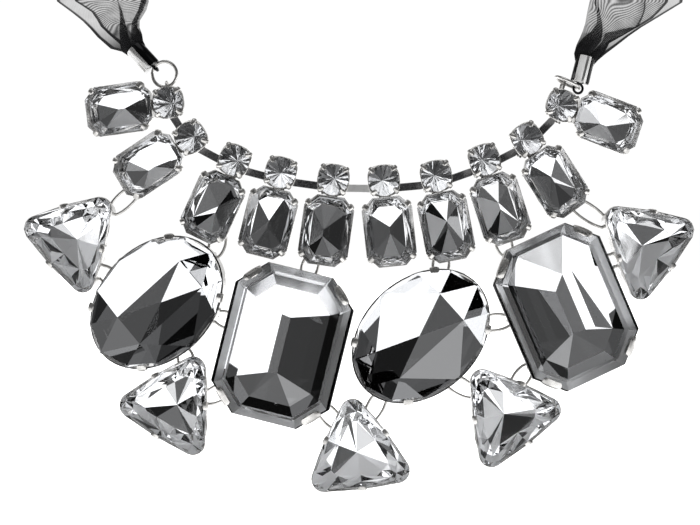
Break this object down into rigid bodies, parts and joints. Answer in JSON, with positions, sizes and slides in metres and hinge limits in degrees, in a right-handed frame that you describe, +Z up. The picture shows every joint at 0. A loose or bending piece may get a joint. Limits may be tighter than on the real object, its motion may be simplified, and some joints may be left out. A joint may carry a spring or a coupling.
{
  "type": "bib necklace",
  "caption": "Bib necklace of clear foiled stones in silver claw settings, linked by jump rings and strips and tied at the nape with two dark sheer ribbons.",
  "frame": {"origin": "where the ribbons' knot rests on the nape, the point that holds the necklace up", "axes": "+Z up, the bib's front faces -Y, the wearer's left is +X"},
  "size_m": [0.1752, 0.1319, 0.194],
  "materials": {
    "stone": "polished, foil-backed",
    "metal": "polished silver plate",
    "ribbon": "sheer, slightly glossy"
  },
  "bodies": {
    "root": {"crimp_left": "metal", "crimp_right": "metal", "drop_setting_1": "metal", "drop_setting_10": "metal", "drop_setting_2": "metal", "drop_setting_3": "metal", "drop_setting_4": "metal", "drop_setting_5": "metal", "drop_setting_6": "metal", "drop_setting_7": "metal", "drop_setting_8": "metal", "drop_setting_9": "metal", "end_ring_left": "metal", "end_ring_right": "metal", "octagon_left_setting": "metal", "octagon_left_stone": "stone", "octagon_right_setting": "metal", "octagon_right_stone": "stone", "octagon_stone_1": "stone", "octagon_stone_10": "stone", "octagon_stone_2": "stone", "octagon_stone_3": "stone", "octagon_stone_4": "stone", "octagon_stone_5": "stone", "octagon_stone_6": "stone", "octagon_stone_7": "stone", "octagon_stone_8": "stone", "octagon_stone_9": "stone", "oval_left_setting": "metal", "oval_left_stone": "stone", "oval_right_setting": "metal", "oval_right_stone": "stone", "ribbon_left": "ribbon", "ribbon_right": "ribbon", "ring_1": "metal", "ring_2": "metal", "ring_3": "metal", "ring_4": "metal", "ring_5": "metal", "ring_6": "metal", "round_stone_1": "stone", "round_stone_10": "stone", "round_stone_2": "stone", "round_stone_3": "stone", "round_stone_4": "stone", "round_stone_5": "stone", "round_stone_6": "stone", "round_stone_7": "stone", "round_stone_8": "stone", "round_stone_9": "stone", "trilliant_1_setting": "metal", "trilliant_1_stone": "stone", "trilliant_2_setting": "metal", "trilliant_2_stone": "stone", "trilliant_3_setting": "metal", "trilliant_3_stone": "stone", "trilliant_4_setting": "metal", "trilliant_4_stone": "stone", "trilliant_5_setting": "metal", "trilliant_5_stone": "stone"}
  },
  "joints": []
}
